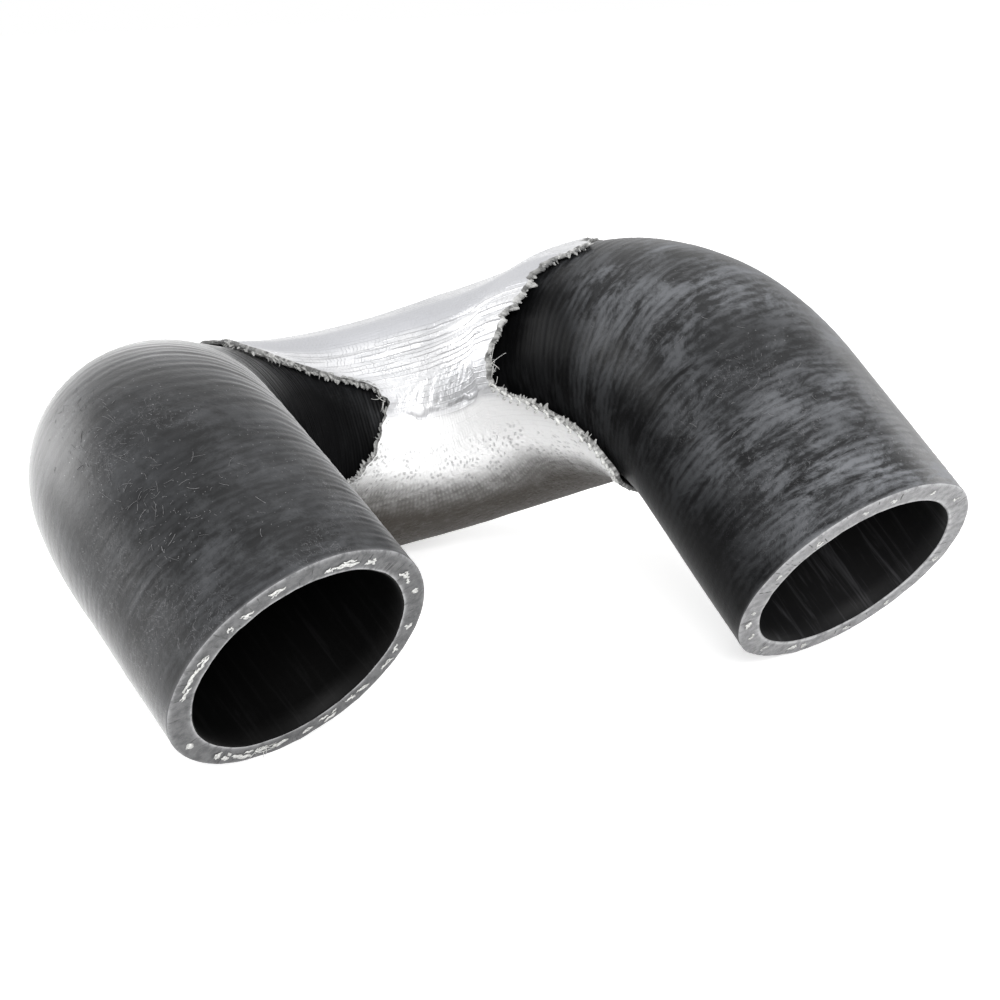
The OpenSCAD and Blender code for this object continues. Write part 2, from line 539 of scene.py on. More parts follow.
def hose_rubber():
    """Dark rubber with chalky bloom in broken bands, scuffs, specks and fine scratches."""
    n = new_material("hose_rubber")
    ridge = n.value("ridge")
    bloom = n.value("bloom")
    shade = n.value("shade")
    unshaded = n.minus(1.0, shade, clamp=True)
    fine = n.noise(n.place(), 1.1, 4.0, 0.7)
    grit = n.noise(n.place(), 0.45, 5.0, 0.75)
    # Chalk lies in bands round the hose, mostly on the ridges
    bands = n.noise(n.wrapped(230.0, 90.0), 1.0, 8.0, 0.74, 0.5)
    bands = n.plus(bands, n.times(ridge, 0.045))
    bands = n.plus(bands, n.times(n.minus(grit, 0.5), 0.22))
    bands = n.plus(bands, n.times(n.minus(fine, 0.5), 0.10))
    chalk = n.times(n.between(bands, 0.38, 0.66), bloom, clamp=True)
    clouds = n.noise(n.place(70.0), 1.0, 4.0, 0.6)
    colour = n.mix(n.between(clouds, 0.35, 0.68), RUBBER_DARK, RUBBER_PALE)
    scuffs = n.between(n.noise(n.place(), 0.11, 7.0, 0.78), 0.50, 0.70)
    colour = n.mix(n.times(scuffs, 0.55), colour, RUBBER_SCUFF)
    colour = n.mix(chalk, colour, RUBBER_CHALK)
    # Painted shade on the inner sides of the knees and the right leg, with less shine there too
    colour = n.mix(n.times(shade, 0.92), colour, RUBBER_SHADED)
    specks = n.between(n.cells(n.uv(480.0, 480.0), 1.0), 0.05, 0.02)
    specks = n.times(n.broken(specks, n.noise(n.place(90.0), 1.0), 0.48, 0.62), unshaded)
    colour = n.mix(n.times(specks, 0.7), colour, RUBBER_SPECK)
    # Scratches follow the middle value of a twisted noise
    line = n.math("ABSOLUTE", n.minus(n.noise(n.place(), 0.30, 4.0, 0.6, 1.6), 0.5))
    scratch = n.between(line, 0.0, 0.010, 1.0, 0.0)
    scratch = n.times(n.broken(scratch, n.noise(n.place(60.0), 1.0), 0.50, 0.62), unshaded)
    colour = n.mix(n.times(scratch, 0.5), colour, RUBBER_SCRATCH)
    # Painted highlight along the rims of both cuts
    colour = n.mix(n.times(n.value("rim_highlight"), 0.75), colour, RUBBER_RIM_HIGHLIGHT)
    grain = n.noise(n.uv(900.0, 500.0), 1.0, 4.0, 0.6)
    height = n.plus(n.times(grain, 0.4), n.times(fine, 0.45))
    # Sheen, far stronger on the left leg: a painted highlight along its outline, with a little from
    # dust on the rubber
    rim_sheen_and_dust = n.from_left(-50.0, -5.0, 0.65, 0.08)
    return n.surface(
        Base_Color=colour,
        Roughness=n.between(chalk, 0.0, 1.0, 0.38, 0.60),
        Specular_IOR_Level=n.between(shade, 0.0, 1.0, 0.18, 0.02),
        Sheen_Weight=n.times(unshaded, rim_sheen_and_dust),
        Sheen_Roughness=0.3,
        Normal=n.bump(height, 0.00016, 0.6),
    )


def bore_rubber():
    """Darker, smoother rubber with faint streaks along the bore, plainer at the right end; the left
    end's bore is painted darker than the right's, as shade.
    """
    n = new_material("bore_rubber")
    streaks = n.between(n.noise(n.wrapped(40.0, 500.0), 1.0, 5.0, 0.65, 0.8), 0.5, 0.72)
    # Painted shade: the left bore darker than the right one
    left = n.mix(streaks, LEFT_BORE, LEFT_BORE_STREAK)
    right = n.mix(streaks, RIGHT_BORE, RIGHT_BORE_STREAK)
    return n.surface(
        Base_Color=n.mix(n.from_left(-5.0, 5.0), left, right),
        Roughness=0.5,
        Specular_IOR_Level=0.08,
        Normal=n.bump(n.noise(n.place(), 0.9, 4.0, 0.6), 0.0001, 0.5),
    )


def cut_rubber():
    """Cut wall: mottled grey with small pits, with painted highlights along its rims, and painted
    shade that makes the left cut darker than the right one.
    """
    n = new_material("cut_rubber")
    mottle = n.noise(n.place(), 0.5, 5.0, 0.65)
    fine = n.noise(n.place(), 2.4, 3.0, 0.6)
    mottled = n.between(mottle, 0.3, 0.7)
    # Painted shade: the left cut darker than the right one
    left = n.mix(mottled, LEFT_CUT_DARK, LEFT_CUT_PALE)
    right = n.mix(mottled, RIGHT_CUT_DARK, RIGHT_CUT_PALE)
    colour = n.mix(n.from_left(-5.0, 5.0), left, right)
    pits = n.between(n.cells(n.uv(900.0, 900.0), 1.0), 0.20, 0.10)
    pits = n.broken(pits, n.noise(n.place(400.0), 1.0, 2.0), 0.50, 0.62)
    colour = n.mix(pits, colour, CUT_PIT)
    # Painted highlight along the cut's rims, broken up by the mottle
    rim_highlight = n.times(n.value("rim_highlight"), n.between(mottle, 0.35, 0.55, 0.3, 1.0))
    height = n.plus(n.times(fine, 0.5), n.times(mottle, 0.8))
    return n.surface(
        Base_Color=n.mix(rim_highlight, colour, CUT_RIM_HIGHLIGHT),
        Roughness=0.6,
        Normal=n.bump(height, 0.0003, 0.8),
    )


def foil_lines(n, below, band, wobble):
    """Long grey lines along the run on the top panel, and fainter ones across it: painted shade in the
    grooves of the weave.
    """
    lengths = n.axes(n.uv())
    run = n.minus(lengths["Y"], n.value("drift"))
    stretched = {"X": n.times(lengths["X"], 0.03), "Y": n.times(run, 0.42)}
    streaks = n.noise(n.add("ShaderNodeCombineXYZ", stretched).outputs[0], 1.0, 3.0, 0.6)
    across = n.plus(n.times(run, 1 / RUN_PITCH), wobble)
    grooves = n.between(n.math("PINGPONG", across, 0.5), 0.0, 0.16, 1.0, 0.0)
    grooves = n.broken(grooves, streaks, 0.36, 0.54)
    slant = n.plus(lengths["X"], n.times(lengths["Y"], WEAVE_SLANT))
    slant = n.plus(n.times(slant, 1 / WEAVE_PITCH), wobble)
    rungs = n.between(n.math("PINGPONG", slant, 0.5), 0.0, 0.12, 1.0, 0.0)
    rungs = n.broken(rungs, n.noise(n.uv(420.0, 300.0), 1.0, 4.0, 0.7), 0.42, 0.58)
    lines = n.math("MAXIMUM", n.times(grooves, 0.8), n.times(rungs, 0.55))
    lines = n.times(lines, n.minus(1.0, n.times(band, 0.75)))
    return n.times(lines, n.between(below, -28.0, -12.0, 1.0, 0.35))


def foil_dents(n, below, place):
    """Lens shaped dents in rows on the lower panel, with painted shade in them."""
    dents = n.between(n.cells(n.uv(1000 / 2.5, 1000 / 1.4), 0.6), 0.42, 0.14)
    dents = n.broken(dents, n.noise(place, 0.24, 4.0, 0.7), 0.42, 0.62)
    return n.times(n.broken(dents, below, 12.0, 22.0), 0.62)


def foil_fold(n, below, place, wobble):
    """The dark line of the crease itself: painted shade in the crease."""
    fold = n.minus(below, n.between(wobble, 0.3, 0.7, -2.0, 3.0))
    fold = n.between(n.math("ABSOLUTE", fold), 0.3, 2.0, 0.8, 0.0)
    return n.broken(fold, n.noise(place, 0.12, 3.0, 0.6), 0.40, 0.55)


def sleeve_foil():
    """Aluminium foil on woven glass cloth: near white, dented by the weave, with the lower panel
    painted white as a reflection of the floor and painted shade on its side and underside.
    """
    n = new_material("sleeve_foil")
    place = n.place()
    below = n.value("below")
    band = n.value("band")
    # How far a place belongs to the lower panel, its side and its underside, where glare and shade are
    # painted
    low = n.between(below, 1.0, 6.0)
    side = n.between(below, 26.0, 44.0)
    under = n.between(below, 38.0, 60.0)
    wobble = n.noise(n.uv(40.0, 60.0), 1.0, 3.0, 0.6)
    lines = n.times(foil_lines(n, below, band, wobble), n.between(low, 0.0, 1.0, 1.0, 0.35))
    marks = n.math("MAXIMUM", lines, foil_dents(n, below, place))
    marks = n.math("MAXIMUM", marks, foil_fold(n, below, place, wobble))
    colour = n.mix(n.between(n.noise(place, 0.09, 5.0, 0.62), 0.3, 0.7), TOP_DARK, TOP_PALE)
    colour = n.mix(n.times(band, 0.9), colour, TOP_BAND)
    # Painted reflection of the bright floor on the lower panel
    colour = n.mix(low, colour, LOW_PANEL_FLOOR_GLARE)
    # Painted shade in the weave's grooves, the dents and the crease, which also dip the bump
    colour = n.mix(marks, colour, FOIL_GROOVE_SHADE)
    # Painted shade on the side and the underside, broken up by noise; less shine underneath keeps it
    # dark
    shade_breakup = n.noise(place, 0.30, 6.0, 0.65)
    side_shade = n.times(side, n.between(shade_breakup, 0.25, 0.65, 0.80, 1.0))
    colour = n.mix(side_shade, colour, n.mix(n.value("weave"), SIDE_DARK, SIDE_PALE))
    underside_shade = n.times(under, n.between(shade_breakup, 0.25, 0.6, 0.85, 1.0))
    colour = n.mix(underside_shade, colour, UNDERSIDE_SHADE)
    fine = n.noise(place, 1.5, 4.0, 0.6)
    metal = n.between(side, 0.0, 1.0, 0.60, 0.20)
    metal = n.minus(metal, n.times(low, n.between(side, 0.0, 1.0, 0.40, 0.10)))
    return n.surface(
        Base_Color=colour,
        Metallic=metal,
        Roughness=n.plus(n.between(fine, 0.3, 0.7, 0.34, 0.48), n.times(side, 0.12)),
        Specular_IOR_Level=n.between(under, 0.0, 1.0, 0.5, 0.12),
        Normal=n.bump(n.minus(n.times(fine, 0.35), marks), 0.00028, 0.8),
    )


def glass_cloth():
    """The cloth's inside and its raw edge: matt glass yarn, grimy in places."""
    n = new_material("glass_cloth")
    yarns = n.noise(n.uv(600.0, 600.0), 1.0, 3.0, 0.6)
    colour = n.mix(n.between(yarns, 0.38, 0.62), GLASS_DARK, GLASS_PALE)
    grime = n.between(n.noise(n.place(), 0.10, 3.0, 0.6), 0.42, 0.62)
    return n.surface(
        Base_Color=n.mix(n.times(grime, 0.6), colour, GRIME),
        Roughness=0.85,
        Normal=n.bump(yarns, 0.0002, 0.8),
    )


def yarn(name, colour):
    n = new_material(name)
    shade = n.noise(n.place(), 1.8, 3.0, 0.6)
    dark = tuple(c * 0.55 for c in colour[:3]) + (1.0,)
    return n.surface(
        Base_Color=n.mix(n.between(shade, 0.3, 0.7), dark, colour),
        Roughness=0.8,
        Normal=n.bump(shade, 0.0001, 0.5),
    )


# The hose

OUTSIDE, RIGHT_CUT, BORE, LEFT_CUT = range(4)
# Place of each kind's material in the list that the hose is given
RUBBER_SLOTS = np.array([0, 2, 1, 2])


def hose_rows():
    """Distance, radius and kind of each row, from the outside round both cuts and the bore."""
    length = PATH.length
    rows_per_ridge, bore_rows, cut_rows = 4, 70, 10
    outer_rows = int(round(length / RIDGE_PITCH * rows_per_ridge))
    cut_r = HOSE_R - CUT_LIP - np.linspace(0, 1, cut_rows) * (WALL - 2 * CUT_LIP)
    parts = (
        (OUTSIDE, np.linspace(CUT_LIP, length - CUT_LIP, outer_rows), np.full(outer_rows, HOSE_R)),
        (RIGHT_CUT, np.full(cut_rows, length), cut_r),
        (BORE, np.linspace(length - CUT_LIP, CUT_LIP, bore_rows), np.full(bore_rows, BORE_R)),
        (LEFT_CUT, np.zeros(cut_rows), cut_r[::-1]),
    )
    s = np.concatenate([part[1] for part in parts])
    r = np.concatenate([part[2] for part in parts])
    kind = np.concatenate([np.full(len(part[1]), part[0]) for part in parts])
    return s, r, kind


def wrap_ridges(base, s, q, patches, right_leg):
    """Ridges that run round the hose, waver a little and come and go in patches."""
    waver = 1.5 * fbm(base / 24.0, 2, 3) + 0.5 * fbm(base / 7.0, 2, 5)
    wave = np.sin(2 * np.pi * (s + waver) / RIDGE_PITCH)
    second = np.sin(2 * np.pi * (s + 1.4 * waver) / (RIDGE_PITCH * 1.63))
    left_inner = fall(apart(q, 75), 60) * rise(175 - s, 8)
    left_top = fall(s - 62, 26) * fall(apart(q, 20), 60)
    right_knee = fall(apart(q, 78), 38) * fall(s - 245, 26)
    strength = 0.006 + 0.016 * patches + 0.070 * left_inner + 0.030 * left_top
    strength = strength + 0.022 * right_leg * (0.3 + patches) + 0.050 * right_knee
    return wave, strength * (0.75 * wave + 0.45 * second)


def chalky_bloom(base, s, q, patches, right_leg):
    """Chalk all over the right leg's upper side, with one round patch on its knee."""
    spread = np.clip(0.62 + 1.3 * fbm(base / 22.0, 3, 13), 0, 1)
    bloom = 0.08 + 0.14 * patches + 0.95 * right_leg * spread
    bloom = np.where(right_leg > 0.5, bloom * (0.35 + 0.65 * fall(apart(q, 5), 85)), bloom)
    return bloom + 0.9 * fall(s - 252, 4.5) * fall(apart(q, 37), 9)


def inner_shade(s, q, right_leg):
    """The inner sides of both knees and of the right leg: painted shade, where the legs keep the light
    off.
    """
    shade = 1.5 * fall(apart(q, 82), 52) * fall(s - 122, 44)
    shade = np.where(s < 78, shade * fall(s - 78, 8), shade)
    shade = np.maximum(shade, 1.7 * fall(apart(q, 84), 48) * fall(s - 236, 24))
    return np.maximum(shade, 0.9 * fall(apart(q, 100), 50) * right_leg)


def hose_piece(materials):
    """One closed skin round the outside, both cuts and the bore."""
    columns = 108
    degrees = np.arange(columns) * 360.0 / columns
    s_row, r_row, kind_row = hose_rows()
    s = np.repeat(s_row[:, None], columns, 1)
    q = np.repeat(degrees[None, :], len(s_row), 0)
    r = np.repeat(r_row[:, None], columns, 1)
    base = PATH.surface(s, q, r)
    kind = kind_row[:, None]
    outside = kind == OUTSIDE
    bore = kind == BORE
    depth = np.clip((HOSE_R - r) / WALL, 0, 1)
    patches = np.clip(fbm(base / 15.0, 3, 11) * 1.8 + 0.45, 0, 1)
    right_leg = rise(s - 222, 6)
    wave, ridges = wrap_ridges(base, s, q, patches, right_leg)
    swell = 0.16 * fbm(base / 26.0, 2, 21) + 0.07 * fbm(base / 6.5, 2, 23)
    # The cut edges wander a little, because the hose was cut by hand
    near_cut = fall(s, 3.0) + fall(s - PATH.length, 3.0)
    ring = np.stack([np.cos(np.radians(q)), np.sin(np.radians(q)), s * 0.01], -1)
    wander = 0.30 * fbm(ring * 2.2, 3, 31) * near_cut
    bore_wander = 0.28 * fbm(ring * 2.6, 3, 41) * near_cut
    change = np.select(
        [outside, bore],
        [ridges + swell + wander, 0.05 * fbm(base / 5.0, 2, 51) + bore_wander],
        wander * (1 - depth) + bore_wander * depth,
    )
    # The cut faces are not quite flat
    rough_cut = 0.10 * fbm(base / 1.6, 2, 61) + 0.16 * fbm(base / 9.0, 2, 63) - 0.12
    s_cut = np.select([kind == RIGHT_CUT, kind == LEFT_CUT], [s + rough_cut, s - rough_cut], s)
    points = PATH.surface(s_cut, q, r + change)
    arc = np.append(degrees, 360.0) * math.pi / 180 * HOSE_R
    uv = np.stack(np.meshgrid(np.append(s_row, s_row[0]), arc, indexing="ij"), -1)
    # The faces that join the outside to a cut look like the cut
    slots = RUBBER_SLOTS[kind_row]
    slots[np.count_nonzero(outside) - 1] = RUBBER_SLOTS[RIGHT_CUT]
    # Painted highlights along the rims of the cuts, strongest where the cut meets the bore
    rim_highlight_outside = 0.6 * fall(s, 0.5) + 0.6 * fall(s - PATH.length, 0.5)
    rim_highlight_on_cut = fall(1 - depth, 0.12) + 0.25 * fall(depth, 0.08)
    values = {
        "ridge": np.where(outside, wave, 0),
        "bloom": np.clip(chalky_bloom(base, s, q, patches, right_leg), 0, 1),
        # Where the rubber gets painted shade
        "shade": np.where(outside, np.clip(inner_shade(s, q, right_leg), 0, 1), 0),
        "rim_highlight": np.clip(np.select([outside, bore], [rim_highlight_outside, 0], rim_highlight_on_cut), 0, 1),
    }
    return ring_mesh("hose_rubber_tube", points, uv, slots, materials, values)


# The sleeve

def crease_at(s):
    """Angle of the crease between the top panel and the lower one."""
    t = (s - CREASE_FROM[0]) / (CREASE_TO[0] - CREASE_FROM[0])
    return CREASE_FROM[1] + (CREASE_TO[1] - CREASE_FROM[1]) * np.clip(t, -0.2, 1.2)


def drift(s):
    """Angle that the cloth's lines turn round the hose on their way to the right end."""
    return 31.5 * rise(s - 205, 18)


def sleeve_radius(s, q, u0, u1):
    """Inside radius as in the part, with a sharper crease and the bulge nearer to it.

    u0 and u1 are the distances of the left and the right edge at q.
    """
    crease = crease_at(s)
    off_crease = 1 - fall(apart(q, crease), 4.5)
    tent = TENT_HEIGHT * fall(s - 186, 22) * fall(apart(q, 0), 38)
    bulge = LOWER_BULGE * fall(s - 190, 45) * fall(apart(q, crease + 21), 20)
    left_open = LEFT_FLARE * np.exp((u0 - s) / 9) * fall(apart(q, 62), 45)
    right_open = RIGHT_FLARE * np.exp((s - u1) / 10) * fall(apart(q, 80), 34)
    return HOSE_R + CLOTH_GAP + (tent + bulge) * off_crease + np.maximum(left_open, right_open)


def mouth_radius(knots, u, q):
    """Inside radius at the edge that the knots describe, with the other edge far away."""
    u0, u1 = (0, u) if knots is RIGHT_EDGE else (u, 400)
    return float(sleeve_radius(u, q, u0, u1))


def weave_height(s, arc):
    """Plain weave: yarns along the run and across it, the cross ones a little slanted."""
    cross = (s + WEAVE_SLANT * arc) / WEAVE_PITCH
    return np.cos(np.pi * arc / WEAVE_PITCH) ** 2 * np.cos(np.pi * cross) ** 2


def torn_edge(degrees, seed):
    """How far a raw edge strays from its smooth curve."""
    ring = on_ring(degrees)
    return (
        1.5 * value_noise(ring * 27.0, seed)
        + 0.9 * value_noise(ring * 13.0, seed + 1)
        + 0.4 * value_noise(ring * 4.0, seed + 2)
    )


def tension_folds(s, q):
    """Long folds of the top panel that follow the cloth's lines."""
    run = fbm(np.stack([s / 14.0, 0 * s, 0 * s], -1), 2, 77) * 3.0
    turned = q - drift(s) - 0.5 * run
    # Height, angle and width of each fold
    folds = ((-0.50, 23, 1.6), (0.40, 27, 2.2), (-0.42, 31, 1.4), (0.28, 36, 2.0), (-0.32, 41, 1.3))
    height = sum(high * fall(apart(turned, centre), width) for high, centre, width in folds)
    return height * fall(s - 190, 55)


def crumpled_foil(s, arc, from_crease):
    """Sharp facets just above the crease, longer along the run than across it."""
    skew = arc + 0.25 * s
    coarse = 1.5 * crumpled(s / 8.5, skew / 1.9, 81)
    fine = 0.6 * crumpled(s / 4.2, skew / 1.2, 85)
    return 0.40 * fall(from_crease + 10, 9) * fall(s - 195, 40) * (coarse + fine - 0.9)


def weave_relief(s, arc, weave, from_crease):
    """The weave as it shows through the foil: pockets below the crease, nearly smooth underneath."""
    pocket = np.clip(value_noise(np.stack([s / 2.1, arc / 1.4, 0 * s], -1), 91), 0, 1)
    below = rise(from_crease - 16, 5)
    relief = 0.18 * weave * (0.45 + 0.55 * below) - 0.30 * pocket * below * (1 - 0.6 * weave)
    underneath = rise(np.where(from_crease < -150, -180, from_crease) - 52, 6)
    return relief * (1 - 0.75 * underneath)


def sleeve_rows():
    """For each row: its share of the way along, its share of the cloth's thickness, its bulge.

    The rows go along the outside, round the right edge, back along the inside and round the left.
    """
    outer_rows, inner_rows = 300, 60
    rim_lift = np.array([0.82, 0.5, 0.18])
    rim_bulge = np.array([0.25, 0.4, 0.25])
    rim = np.ones(len(rim_lift))
    along = np.concatenate(
        [np.linspace(0, 1, outer_rows), rim, np.linspace(1, 0, inner_rows), 0 * rim]
    )
    lift = np.concatenate([np.ones(outer_rows), rim_lift, np.zeros(inner_rows), rim_lift[::-1]])
    bulge = np.concatenate([np.zeros(outer_rows), rim_bulge, np.zeros(inner_rows), -rim_bulge])
    return along, lift, bulge, outer_rows, len(rim_lift)


def sleeve_piece(materials):
    """One closed sheet with its folds, weave and torn edges, and what its fringe has to know."""
    degrees = np.concatenate(
        [np.arange(SEEN_FROM, SEEN_TO, 1.05), np.arange(SEEN_TO + 3.0, SEEN_FROM + 360, 3.0)]
    )
    u0 = edge_at(LEFT_EDGE, degrees) + torn_edge(degrees, 101)
    u1 = edge_at(RIGHT_EDGE, degrees) + torn_edge(degrees, 111)
    along, lift, bulge, outer_rows, rim_rows = sleeve_rows()
    rows = len(along)
    s = u0 + (u1 - u0) * along[:, None] + bulge[:, None]
    q = np.repeat(degrees[None, :], rows, 0)
    arc = np.radians(q) * CLOTH_R
    inside = sleeve_radius(s, q, u0, u1)
    from_crease = apart(q, crease_at(s))
    slack = 0.35 * fbm(PATH.surface(s, q, inside) / 17.0, 2, 71)
    folds = tension_folds(s, q)
    crumple = crumpled_foil(s, arc, from_crease)
    lap = 0.9 * fall(from_crease - 3, 3.2) * fall(s - 200, 40)
    weave = weave_height(s, arc)
    relief = weave_relief(s, arc, weave, from_crease)
    # The back of both mouths lies close on the hose, and the open edges are frayed thick
    to_edge = np.minimum(s - u0, u1 - s)
    close = fall(apart(q, 335), 42) * fall(to_edge, 14)
    low = np.maximum(slack + 0.35 * folds + 0.3 * crumple, MIN_GAP - CLOTH_GAP)
    room = np.clip((inside + low - HOSE_R - MIN_GAP - 0.3) / 1.6, 0, 1)
    thick = 0.75 * np.exp(-np.abs(to_edge) / 1.6) * room
    low = low - close * (low + CLOTH_GAP - MIN_GAP)
    outer = inside + CLOTH + low + 0.65 * folds + 0.7 * crumple + lap + relief - 0.25 * close
    inner = inside + low - thick
    radius = inner + (outer - inner) * lift[:, None]
    arc_uv = np.append(arc[0], arc[0, 0] + 2 * math.pi * CLOTH_R)
    s_uv = np.pad(s, ((0, 1), (0, 1)), mode="wrap")
    uv = np.stack([s_uv, np.repeat(arc_uv[None, :], rows + 1, 0)], -1)
    slots = (np.arange(rows) >= outer_rows - 1).astype(int)
    # Degrees below the crease on the near side. The back is coloured like the top panel, with none of
    # the lower panel's painted glare and shade
    below = np.where(from_crease < -150, from_crease + 360, from_crease)
    below = np.where(below > 130, 130 - 3 * (below - 130), below)
    values = {
        "below": below,
        "weave": weave,
        "band": rise(10 - np.abs(apart(q - drift(s), 10)), 1.2),
        "drift": np.radians(drift(s)) * CLOTH_R,
    }
    points = PATH.surface(s, q, radius)
    sleeve = ring_mesh("heat_sleeve_cloth", points, uv, slots, materials, values)
    # Each edge: its knots, the way it faces, and its points' angles, distances and radii
    right_row = outer_rows - 1
    edges = (
        (LEFT_EDGE, -1.0, degrees, u0, (radius[0] + radius[-rim_rows - 1]) / 2),
        (RIGHT_EDGE, 1.0, degrees, u1, (radius[right_row] + radius[right_row + rim_rows + 1]) / 2),
    )
    flat = (arc_uv[-1] - arc_uv[0], float((u1 - u0).max()))
    widths = np.append(u1 - u0, u1[0] - u0[0])
    area = 0.5 * np.sum((widths[1:] + widths[:-1]) * np.diff(arc_uv))
    return sleeve, edges, flat, area


# What frays from the sleeve

def torn_scrap(rng):
    """Length, half width, flatness, taper and drop of a scrap of torn cloth."""
    long, wide = rng.uniform(0.8, 1.8), rng.uniform(0.60, 1.05)
    return long, wide, 0.32, np.array([1.0, 0.95, 0.75, 0.25]), rng.uniform(-1.2, 0.1)


def broken_yarn(rng):
    """The same for a short end of yarn."""
    long, wide = rng.choice([0.8, 1.1, 1.6]), rng.uniform(0.14, 0.24)
    return long, wide, 1.0, np.array([1.0, 1.0, 0.8, 0.3]), rng.uniform(-1.4, 0.6)


def fringe_piece(edges, material):
    """Torn cloth and broken glass yarns that stand out of both raw edges, square to them."""
    rng = random.Random(5)
    pieces = Pieces()
    per_degree = math.radians(1) * CLOTH_R
    t = np.linspace(0, 1, 4)
    for knots, sign, degrees, u, r in edges:
        smooth = edge_at(knots, degrees)
        slope = np.gradient(smooth, degrees * per_degree)
        step = np.hypot(np.diff(smooth), np.diff(degrees * per_degree))
        along = np.concatenate([[0], np.cumsum(step)])
        for kind, spacing in ((torn_scrap, 1.25), (broken_yarn, 1.6)):
            at = 0.0
            while at < along[-1]:
                at += spacing * rng.uniform(0.6, 1.4)
                q0 = float(np.interp(at, along, degrees))
                # Few at the back, and none past the top outline or where the right leg hides them
                thinned = q0 > SEEN_TO and rng.random() < 0.6
                if q0 < 1 or thinned or (sign > 0 and 113 < q0 < SEEN_TO):
                    continue
                m = float(np.interp(q0, degrees, slope))
                out_s, out_a = sign / math.hypot(1, m), -sign * m / math.hypot(1, m)
                lean = rng.gauss(0, 0.30)
                go_s = out_s * math.cos(lean) - out_a * math.sin(lean)
                go_a = out_s * math.sin(lean) + out_a * math.cos(lean)
                at_u, at_r = float(np.interp(q0, degrees, u)), float(np.interp(q0, degrees, r))
                long, wide, flat, taper, drop = kind(rng)
                reach = -0.7 + long * t
                lifted = np.maximum(at_r + rng.uniform(-0.4, 0.4) + drop * t**2, HOSE_R + 0.2)
                line = PATH.surface(at_u + go_s * reach, q0 + go_a * reach / per_degree, lifted)
                pieces.tube(line, wide * taper, 5, flat, PATH.outward(at_u, q0))
    return pieces.build("sleeve_fringe", material)


def loose_threads(material):
    """Single threads at the waist corner and the notch, and looped yarn along the right edge."""
    rng = random.Random(9)
    pieces = Pieces()
    t = np.linspace(0, 1, 6)
    for centre_s, centre_q, sign, count in ((229.5, 85, 1.0, 16), (161, 60, -1.0, 6)):
        for _ in range(count):
            s0, q0 = centre_s + rng.uniform(-1.5, 0.5) * sign, centre_q + rng.uniform(-6, 6)
            long = rng.uniform(2.0, 5.5)
            s = s0 + sign * long * t * rng.uniform(0.4, 1.0)
            q = q0 + rng.uniform(-7, 7) * t + rng.uniform(-3, 3) * t**2
            r = HOSE_R + CLOTH_GAP + 2.8 + rng.uniform(-1.2, 1.0) * t
            pieces.tube(PATH.surface(s, q, r), np.linspace(0.13, 0.05, 6), 4)
    for q0 in np.arange(91, 128, 1.9):
        u1 = float(edge_at(RIGHT_EDGE, q0))
        s = u1 - 0.9 + rng.uniform(1.2, 2.0) * np.sin(math.pi * t)
        q = q0 + 3.0 * (t - 0.5) + rng.uniform(-0.3, 0.3)
        r = mouth_radius(RIGHT_EDGE, u1, q0) + 0.9 + rng.uniform(-0.2, 0.3) + 0.2 * np.sin(math.pi * t)
        pieces.tube(PATH.surface(s, q, r), rng.uniform(0.30, 0.42) * np.ones(6), 6)
    return pieces.build("loose_threads", material)


def edge_cord(material):
    """The thick woven edge that shows as a row of beads where the sleeve leaves the top."""
    rng = random.Random(33)
    pieces = Pieces()
    t = np.linspace(0, 1, 5)
    bead = np.array([0.45, 0.9, 1.0, 0.9, 0.45])
    for knots, sign, start, stop in ((RIGHT_EDGE, 1.0, -3, 38), (LEFT_EDGE, -1.0, -2, 26)):
        for q0 in np.arange(start, stop, 2.3):
            u = float(edge_at(knots, q0))
            s = u + sign * 0.3 + sign * (0.35 + rng.uniform(-0.1, 0.25)) * np.sin(math.pi * t)
            q = q0 + 2.1 * (t - 0.5) + rng.uniform(-0.2, 0.2)
            r = np.full(5, mouth_radius(knots, u, q0) + 0.15)
            grown = min(1, 0.35 + (q0 - start) / 18)
            pieces.tube(PATH.surface(s, q, r), rng.uniform(0.42, 0.60) * bead * grown, 7)
    return pieces.build("sleeve_edge_cord", material)


# What lies on the hose and shows in its cuts

def lint(material):
    """Pale hairs and scuffs, most of them on the upper left of the left leg."""
    rng = random.Random(14)
    pieces = Pieces()
    t = np.linspace(0, 1, 6)
    # Distance, angle, the spread of both, and how many
    groups = (
        (53, 322, 12, 20, 119), (36, 318, 10, 16, 102), (26, 312, 8, 12, 51), (24, 345, 12, 14, 27),
        (262, 40, 9, 14, 51), (283, 25, 12, 20, 27), (300, 35, 14, 25, 23), (12, 20, 8, 30, 13),
    )
    for s0, q0, spread_s, spread_q, count in groups:
        for _ in range(count):
            s1 = s0 + rng.gauss(0, spread_s * 0.6)
            q1 = q0 + rng.gauss(0, spread_q * 0.6)
            if not 1.5 < s1 < PATH.length - 1.5:
                continue
            turn = rng.uniform(0, 2 * math.pi) + rng.uniform(-0.9, 0.9) * t
            long = rng.choice([0.3, 0.5, 0.8, 1.3, 2.6]) * rng.uniform(0.6, 1.2)
            s = np.clip(s1 + np.cumsum(np.cos(turn)) * long / 6, 1.0, PATH.length - 1.0)
            q = q1 + np.degrees(np.cumsum(np.sin(turn)) * long / 6 / HOSE_R)
            r = np.full(6, HOSE_R + rng.uniform(-0.02, 0.04))
            pieces.tube(PATH.surface(s, q, r), rng.uniform(0.02, 0.045) * np.ones(6), 3)
    return pieces.build("hose_lint", material)


